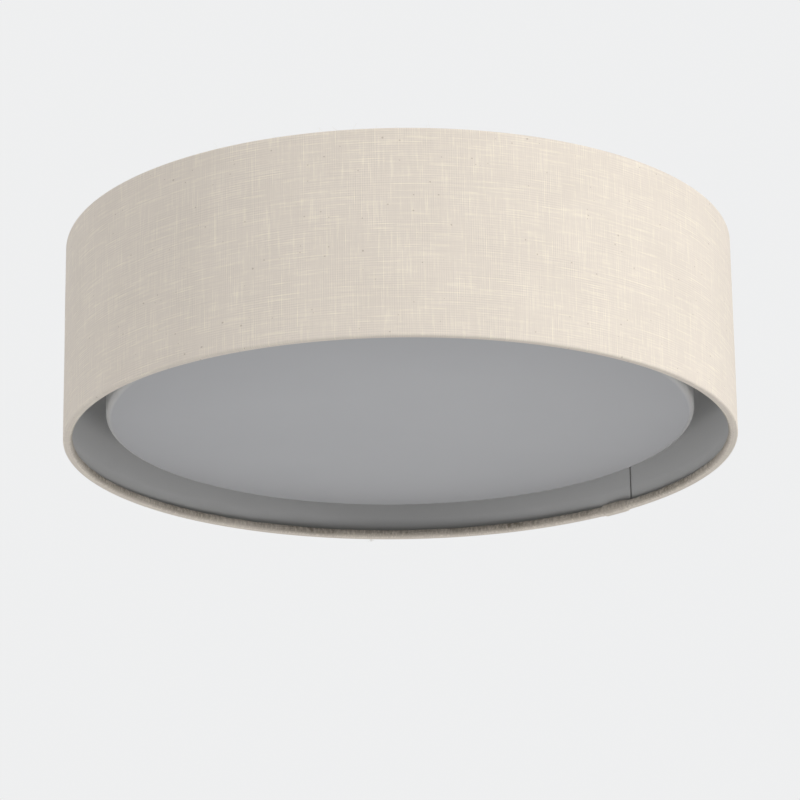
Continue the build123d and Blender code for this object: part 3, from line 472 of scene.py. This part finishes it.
finishes = {
    "linen": makeLinen(linenSettings),
    "liner_white": makeLinerFilm(linerSettings),
    "opal_acrylic": makeOpal(opalSettings),
    "ring_steel": makeCoating("coatedWire", (0.80, 0.79, 0.76), roughness=0.4, grain=2200.0, grainHeight=0.00002,
                              mottle=0.03, mottleScale=80.0),
    "pan_enamel": makeCoating("panPowderCoat", (0.84, 0.84, 0.83), roughness=0.46, grain=1500.0, grainHeight=0.00006,
                              mottle=0.02, mottleScale=22.0),
    "bracket_zinc": makeMetal("bracketZinc", (0.66, 0.67, 0.69), roughness=0.32, cloudy=0.05, spangle=0.03),
    "screw_zinc": makeMetal("screwZinc", (0.70, 0.70, 0.72), roughness=0.26, brush=(1500.0, 1500.0, 300.0)),
    "rivet_aluminium": makeMetal("rivetAluminium", (0.75, 0.76, 0.78), roughness=0.36,
                                 brush=(1200.0, 1200.0, 1200.0)),
    "spring_steel": makeMetal("springSteel", (0.50, 0.51, 0.54), roughness=0.28, brush=(300.0, 300.0, 2400.0)),
    "earth_green": makeMetal("earthGreen", (0.10, 0.40, 0.19), roughness=0.34, brush=(1500.0, 1500.0, 300.0)),
    "bushing_black": makeCoating("bushingRubber", (0.030, 0.030, 0.031), roughness=0.62, grain=1600.0,
                                 grainHeight=0.00004, mottle=0.1),
    "board_white": makeBoard(boardSettings),
    "led_yellow": makeCoating("ledPhosphor", (0.86, 0.66, 0.14), roughness=0.3, grain=4000.0, grainHeight=0.00002,
                              mottle=0.06, mottleScale=900.0),
    "connector_white": makeCoating("connectorNylon", (0.82, 0.81, 0.77), roughness=0.5, grain=3000.0,
                                   grainHeight=0.00002, mottle=0.03, mottleScale=120.0),
    "driver_plastic": makeCoating("driverCase", (0.80, 0.80, 0.785), roughness=0.55, grain=1400.0,
                                  grainHeight=0.00007, mottle=0.03, mottleScale=50.0),
    "board_green": makeCoating("greenBoard", (0.06, 0.26, 0.11), roughness=0.35, grain=1500.0, grainHeight=0.00003,
                               mottle=0.14, mottleScale=240.0),
    "winding_yellow": makeWinding((0.78, 0.62, 0.16)),
    "capacitor_black": makeCoating("capacitorSleeve", (0.045, 0.045, 0.055), roughness=0.3, grain=900.0,
                                   grainHeight=0.00002, mottle=0.1),
    "terminal_nylon": makeCoating("terminalNylon", (0.82, 0.81, 0.75), roughness=0.5, grain=1800.0,
                                  grainHeight=0.00004, mottle=0.03, mottleScale=90.0),
    "terminal_brass": makeMetal("terminalBrass", (0.78, 0.60, 0.30), roughness=0.28, brush=(900.0, 900.0, 900.0)),
    "lead_black": makeCoating("leadBlack", (0.02, 0.02, 0.021), roughness=0.42, grain=1200.0, grainHeight=0.00002,
                              mottle=0.08),
    "lead_white": makeCoating("leadWhite", (0.80, 0.80, 0.78), roughness=0.42, grain=1200.0, grainHeight=0.00002,
                              mottle=0.03),
    "lead_green": makeCoating("leadGreen", (0.08, 0.38, 0.14), roughness=0.42, grain=1200.0, grainHeight=0.00002,
                              mottle=0.05),
    "lead_red": makeCoating("leadRed", (0.52, 0.04, 0.035), roughness=0.42, grain=1200.0, grainHeight=0.00002,
                            mottle=0.05),
    "thumb_nickel": makeMetal("satinNickel", (0.74, 0.72, 0.68), roughness=0.24, brush=(1100.0, 1100.0, 260.0),
                              cloudy=0.03),
    "washer_nylon": makeCoating("washerNylon", (0.84, 0.83, 0.78), roughness=0.5, grain=2400.0, grainHeight=0.00002,
                                mottle=0.03),
}
slotOf = {part["node"]: part["material_slot"] for part in frame["record"]["subparts"]}
for nodeName, piece in cad.items():
    piece.data.materials.clear()
    piece.data.materials.append(finishes[slotOf[nodeName]])
print("finishes set:", len(finishes))


# a strip of cloth or film that runs round the axis, as a closed mesh with its own thickness
def sweepStrip(name, angles, measures, placer, closed, material, lengthAt):
    # measures: how far along the cloth each row lies, for the texture map
    rows = len(measures)
    vertices = []
    for angle in angles:
        vertices.extend(placer(angle, index) for index in range(rows))
    faces = []
    columns = len(angles)
    for column in range(columns if closed else columns - 1):
        here = column * rows
        there = (column + 1) % columns * rows
        for row in range(rows):
            nextRow = (row + 1) % rows
            faces.append((here + row, there + row, there + nextRow, here + nextRow))
    if not closed:
        faces.append(tuple(range(rows)))
        faces.append(tuple(reversed(range((columns - 1) * rows, columns * rows))))
    mesh = bpy.data.meshes.new(name)
    mesh.from_pydata(vertices, [], faces)
    mesh.polygons.foreach_set("use_smooth", [True] * len(mesh.polygons))
    mesh.materials.append(material)
    layer = mesh.uv_layers.new(name="clothMap")
    corner = 0
    for column in range(columns if closed else columns - 1):
        left, right = lengthAt(angles[column]), lengthAt(angles[(column + 1) % columns])
        if right < left:
            right += lengthAt(tau)
        for row in range(rows):
            low, high = measures[row], measures[(row + 1) % rows]
            for u, v in ((left, low), (right, low), (right, high), (left, high)):
                layer.uv[corner].vector = (u, v)
                corner += 1
    mesh.validate()
    mesh.update()
    piece = bpy.data.objects.new(name, mesh)
    bpy.context.scene.collection.objects.link(piece)
    return piece


def smooth(share):
    share = max(0.0, min(1.0, share))
    return share * share * (3 - 2 * share)


def hemPoint(run):
    # middle of the cloth past the wall: distance out from the wire's circle, distance past the wire, way out
    if run < hemFlat:
        return rollRadius, run, Vector((1.0, 0.0))
    run -= hemFlat
    if run < hemCorner:
        way = Vector((cos(run / drum["crease"]), sin(run / drum["crease"])))
        return hemFlat + drum["crease"] * way.x, hemFlat + drum["crease"] * way.y, way
    run -= hemCorner
    if run < hemFlat:
        return hemFlat - run, rollRadius, Vector((0.0, 1.0))
    turn = pi / 2 + (run - hemFlat) / rollRadius
    way = Vector((cos(turn), sin(turn)))
    return rollRadius * way.x, rollRadius * way.y, way


def hemRuns(settings):
    bends, turns = settings["creaseSteps"], settings["hemTurnSteps"]
    runs = [hemFlat * 0.5, hemFlat]
    runs += [hemFlat + hemCorner * step / bends for step in range(1, bends + 1)]
    runs += [hemFlat * 1.5 + hemCorner]
    start = 2 * hemFlat + hemCorner
    return runs + [start + (hemRun - start) * step / turns for step in range(turns + 1)]


def clothLine(settings):
    # middle line of the cloth from the upper free edge to the lower one. Each point has its radius, level, way out,
    # run along the cloth, share of the hem (0 on the wall) and sway, which is how freely the wall ripples there, or
    # past the wall its side: 1 above and -1 below
    upper, lower = [], []
    for run in hemRuns(settings):
        out, past, way = hemPoint(run)
        share = run / hemRun
        upper.append((rollCircle + out, rollTop + past, way, hemRun - run, share, 1))
        lower.append((rollCircle + out, rollBottom - past, Vector((way.x, -way.y)),
                      hemRun + rollTop - rollBottom + run, share, -1))
    wall = []
    for step in range(settings["wallRows"] + 1):
        share = step / settings["wallRows"]
        level = rollTop + (rollBottom - rollTop) * share
        wall.append((rollCircle + rollRadius, level, Vector((1.0, 0.0)), hemRun + rollTop - level, 0.0,
                     sin(pi * share)))
    return list(reversed(upper)) + wall + lower


middleLine = clothLine(drum)
clothRows = [(point, 1) for point in middleLine] + [(point, -1) for point in reversed(middleLine)]
clothMeasures = [point[3] for point, side in clothRows]


def seamShare(angle, length, fall):
    # 1 inside the lap, 0 outside. Seen from the camera its left edge is sharp, and its right one rises over fall
    run = (angle - radians(drum["seamAngle"])) * drum["radius"]
    return smooth(run / fall + 0.5) * smooth((length - run) / drum["seamFall"] + 0.5)


def placeCloth(angle, index):
    point, side = clothRows[index]
    radius, level, way, run, hemShare, sway = point
    grow = side * drum["cloth"] / 2
    around = Vector((cos(angle), sin(angle), 0.0))
    waviness = noise.noise(around * 5.0 + Vector((0, 0, level * 22.0))) * drum["ripple"]
    waviness += noise.noise(around * 23.0 + Vector((0, 0, level * 60.0))) * drum["ripple"] * 0.35
    if hemShare == 0.0:  # on the wall
        grow += waviness * sway
        if side > 0:
            grow += drum["seamRise"] * seamShare(angle, drum["seamLap"], drum["seamFall"])
    elif side > 0:
        arc = angle * drum["radius"] / drum["puckerPitch"]
        fold = noise.noise(Vector((arc, sway * 3.0, 1.7))) + 0.5 * noise.noise(Vector((arc * 2.3, 5.0, 8.0)))
        bulge = smooth(hemShare * 3.0)
        grow += fold * drum["pucker"] * smooth((hemShare - 0.35) * 2.0)
        grow += drum["bumpRise"] * bulge * seamShare(angle, drum["bumpLength"], drum["bumpFall"])
        grow += drum["seamRise"] * (1 - bulge) * seamShare(angle, drum["seamLap"], drum["seamFall"])
    radius += way.x * grow
    level += way.y * grow
    return (radius * cos(angle), radius * sin(angle), level)


def drumAngles(settings):
    angles = [tau * step / settings["columns"] for step in range(settings["columns"])]
    for start in (0.0, settings["seamLap"], settings["bumpLength"]):
        edge = radians(settings["seamAngle"]) + start / settings["radius"]
        angles.extend(edge + offset * mm / settings["radius"] for offset in (-0.5, -0.25, 0.0, 0.25, 0.5))
    return sorted(angles)


shadeCloth = sweepStrip("shadeCloth", drumAngles(drum), clothMeasures, placeCloth, True, finishes["linen"],
                        lambda angle: angle * drum["radius"])
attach(shadeCloth, "shade")
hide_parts("shade_fabric")
print("shade cloth made:", len(shadeCloth.data.vertices), "points")


# the liner: one film that overlaps itself at the seam, with a dark line along its free edge
liner = {
    "inner": 201.5 * mm,
    "film": 0.55 * mm,
    "seamAngle": drum["seamAngle"] - 0.9,
    "lap": drum["seamLap"],
    "ramp": 16.0 * mm,
    "lift": 0.12 * mm,  # air under the free edge
    "columns": 480,
    "rows": 12,
    "ripple": 0.05 * mm,
    "edgeShadow": (0.34, 0.34, 0.335),
    "edgeWidth": 0.4 * mm,
}
linerLow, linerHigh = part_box("shade_liner")


def linerLine(settings):
    rows = settings["rows"]
    levels = [linerHigh.z + (linerLow.z - linerHigh.z) * step / rows for step in range(rows + 1)]
    return [(level, 1) for level in levels] + [(level, 0) for level in reversed(levels)]


linerRows = linerLine(liner)
linerMeasures = [linerHigh.z - level for level, side in linerRows]


def placeLiner(angle, index):
    level, side = linerRows[index]
    run = (angle - radians(liner["seamAngle"])) * liner["inner"]
    inward = liner["film"] + liner["lift"]
    step = -inward * (1 - smooth((run - liner["lap"]) / liner["ramp"]))
    around = Vector((cos(angle), sin(angle), 0.0))
    step += noise.noise(around * 7.0 + Vector((3.0, 0, level * 25.0))) * liner["ripple"]
    radius = liner["inner"] + step + side * liner["film"]
    return (radius * around.x, radius * around.y, level)


def linerAngles(settings):
    start = radians(settings["seamAngle"])
    end = start + tau + settings["lap"] / settings["inner"]
    angles = [start + settings["edgeWidth"] / settings["inner"]]
    angles += [start + (end - start) * step / settings["columns"] for step in range(settings["columns"] + 1)]
    return sorted(angles)


shadeLiner = sweepStrip("shadeLiner", linerAngles(liner), linerMeasures, placeLiner, False, finishes["liner_white"],
                        lambda angle: angle * liner["inner"])
edgeFilm = makeCoating("linerEdge", liner["edgeShadow"], roughness=0.6, grain=1800.0, grainHeight=0.00001,
                       mottle=0.1, mottleScale=300.0, specular=0.3)
shadeLiner.data.materials.append(edgeFilm)
for face in shadeLiner.data.polygons:
    middle = face.center
    run = (Vector((middle.x, middle.y)).angle_signed(Vector((1, 0))) - radians(liner["seamAngle"])) * liner["inner"]
    if abs(run) < liner["edgeWidth"] and hypot(middle.x, middle.y) < liner["inner"] + 0.02 * mm:
        face.material_index = 1
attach(shadeLiner, "shade")
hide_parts("shade_liner")
print("liner made")


# loose fibres at the shade's edges
fibreSettings = {
    "count": 16,
    "thickness": 0.035 * mm,
    "length": (1.5 * mm, 5.5 * mm),
    "seed": 11,
    "upperSpan": (235.0, 285.0),  # degrees round the drum
    "lintAngle": 95.8,
    "lintSpread": 0.2,  # degrees to each side
    "lintCount": 14,
    "lintSize": 1.7 * mm,
    "lintRange": (0.7, 1.3),
    "rootOut": (0.6, 1.8),  # mm outside the ring wire's circle
    "rootDepth": 0.15 * mm,
    "leanOut": (-0.3, 0.6),
    "rise": 0.9,
    "droop": (-0.8, 0.4),
    "curl": 0.35,
    "colour": (0.78, 0.74, 0.66),
}


def makeFibres(settings):
    draw = random.Random(settings["seed"])
    curve = bpy.data.curves.new("looseFibres", "CURVE")
    curve.dimensions = "3D"
    curve.bevel_depth = settings["thickness"]
    curve.bevel_resolution = 1
    curve.resolution_u = 6
    places = [(draw.uniform(*settings["upperSpan"]), drum["top"], 1) for index in range(settings["count"])]
    lintSpread = settings["lintSpread"]
    places += [(settings["lintAngle"] + draw.uniform(-lintSpread, lintSpread), drum["bottom"], -1)
               for index in range(settings["lintCount"])]
    for angle, level, side in places:
        if side > 0:
            length = draw.uniform(*settings["length"])
        else:
            length = settings["lintSize"] * draw.uniform(*settings["lintRange"])
        turn = radians(angle)
        outwards = Vector((cos(turn), sin(turn), 0))
        along = Vector((-sin(turn), cos(turn), 0))
        root = outwards * (rollCircle + draw.uniform(*settings["rootOut"]) * mm)
        root += Vector((0, 0, level - side * settings["rootDepth"]))
        lean = along * draw.uniform(-1, 1) + outwards * draw.uniform(*settings["leanOut"])
        lean += Vector((0, 0, side * settings["rise"]))
        curl = along * draw.uniform(-1, 1) + Vector((0, 0, draw.uniform(*settings["droop"])))
        spline = curve.splines.new("NURBS")
        spline.points.add(3)
        for index, point in enumerate(spline.points):
            share = index / 3
            place = root + lean.normalized() * length * share + curl * length * settings["curl"] * share * share
            point.co = (*place, 1)
        spline.order_u = 3
        spline.use_endpoint_u = True
    piece = bpy.data.objects.new("looseFibres", curve)
    bpy.context.scene.collection.objects.link(piece)
    curve.materials.append(makeCoating("fibre", settings["colour"], roughness=0.8, grain=3000.0,
                                       grainHeight=0.00001, mottle=0.05))
    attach(piece, "shade")


makeFibres(fibreSettings)
print("fibres made")


# floor, lamps and world
stageSettings = {
    "floorLevel": -3.6,
    "floorSize": 60.0,
    "floorColour": (0.66, 0.66, 0.658),  # the light that it sends up into the shade
    "floorSeen": (0.70, 0.702, 0.702),
    "floorGlow": 0.14,
    "floorCloud": (0.99, 1.01),
    "floorRoughness": 0.85,
    "floorSpecular": 0.2,
    "backdrop": (0.86, 0.865, 0.87),
    "ambient": (0.54, 0.545, 0.555),
    "keyPlace": (2.7, -2.5, 1.15),
    "keySize": 2.2,
    "keyPower": 91.0,
    "keyColour": (1.0, 0.985, 0.96),
    "fillPlace": (-2.9, -2.3, 1.3),
    "fillSize": 2.4,
    "fillPower": 24.0,
    "mainTarget": (0.0, 0.0, -0.06),
    "sidePlace": (1.7, -0.3, -1.75),  # of the right one, and the left one mirrors it
    "sideSize": 0.9,
    "sidePower": 10.0,
    "sideColour": (1.0, 1.0, 1.0),
    "sideTarget": (0.0, 0.0, -0.1),
}


# how pale the floor and the backdrop look, which says nothing of the light that they give
def pathSeen(tree):
    path = tree.nodes.new("ShaderNodeLightPath")
    seen = calc(tree, "MAXIMUM", path.outputs["Is Camera Ray"], path.outputs["Is Glossy Ray"])
    return calc(tree, "MAXIMUM", seen, path.outputs["Is Transmission Ray"])


def makeFloor(settings):
    half = settings["floorSize"] / 2
    level = settings["floorLevel"]
    mesh = bpy.data.meshes.new("studioFloor")
    mesh.from_pydata([(-half, -half, level), (half, -half, level), (half, half, level), (-half, half, level)], [],
                     [(0, 1, 2, 3)])
    floor = bpy.data.objects.new("studioFloor", mesh)
    bpy.context.scene.collection.objects.link(floor)
    material, tree, shader = startMaterial("studioFloorPaint")
    seen = pathSeen(tree)
    cloud = spreadNoise(tree, noiseField(tree, objectPlace(tree), 2.0, 3.0), *settings["floorCloud"])
    paint = mixColours(tree, seen, (*settings["floorColour"], 1.0), (*settings["floorSeen"], 1.0))
    tree.links.new(scaleColour(tree, paint, cloud), shader.inputs["Base Color"])
    shader.inputs["Emission Color"].default_value = (*settings["floorSeen"], 1.0)
    tree.links.new(calc(tree, "MULTIPLY", seen, settings["floorGlow"]), shader.inputs["Emission Strength"])
    shader.inputs["Roughness"].default_value = settings["floorRoughness"]
    shader.inputs["Specular IOR Level"].default_value = settings["floorSpecular"]
    mesh.materials.append(material)


def makeWorld(settings):
    world = bpy.data.worlds.new("studioWorld")
    world.use_nodes = True
    tree = world.node_tree
    tree.nodes.clear()
    colour = mixColours(tree, pathSeen(tree), (*settings["ambient"], 1.0), (*settings["backdrop"], 1.0))
    background = tree.nodes.new("ShaderNodeBackground")
    tree.links.new(colour, background.inputs["Color"])
    output = tree.nodes.new("ShaderNodeOutputWorld")
    tree.links.new(background.outputs[0], output.inputs["Surface"])
    bpy.context.scene.world = world


def makeLamp(name, place, size, power, colour, target):
    data = bpy.data.lights.new(name, "AREA")
    data.shape = "DISK"
    data.size = size
    data.energy = power
    data.color = colour
    lamp = bpy.data.objects.new(name, data)
    lamp.location = place
    lamp.rotation_mode = "QUATERNION"
    lamp.visible_camera = False
    lamp.rotation_quaternion = (Vector(target) - Vector(place)).to_track_quat("-Z", "Y")
    bpy.context.scene.collection.objects.link(lamp)


makeFloor(stageSettings)
makeWorld(stageSettings)
makeLamp("keyLamp", stageSettings["keyPlace"], stageSettings["keySize"], stageSettings["keyPower"],
         stageSettings["keyColour"], stageSettings["mainTarget"])
makeLamp("fillLamp", stageSettings["fillPlace"], stageSettings["fillSize"], stageSettings["fillPower"],
         stageSettings["keyColour"], stageSettings["mainTarget"])
sideOut, sideForward, sideUp = stageSettings["sidePlace"]
for lampName, out in (("sideLampLeft", -sideOut), ("sideLampRight", sideOut)):
    makeLamp(lampName, (out, sideForward, sideUp), stageSettings["sideSize"], stageSettings["sidePower"],
             stageSettings["sideColour"], stageSettings["sideTarget"])
bpy.context.scene.view_settings.view_transform = "Standard"
print("stage set")
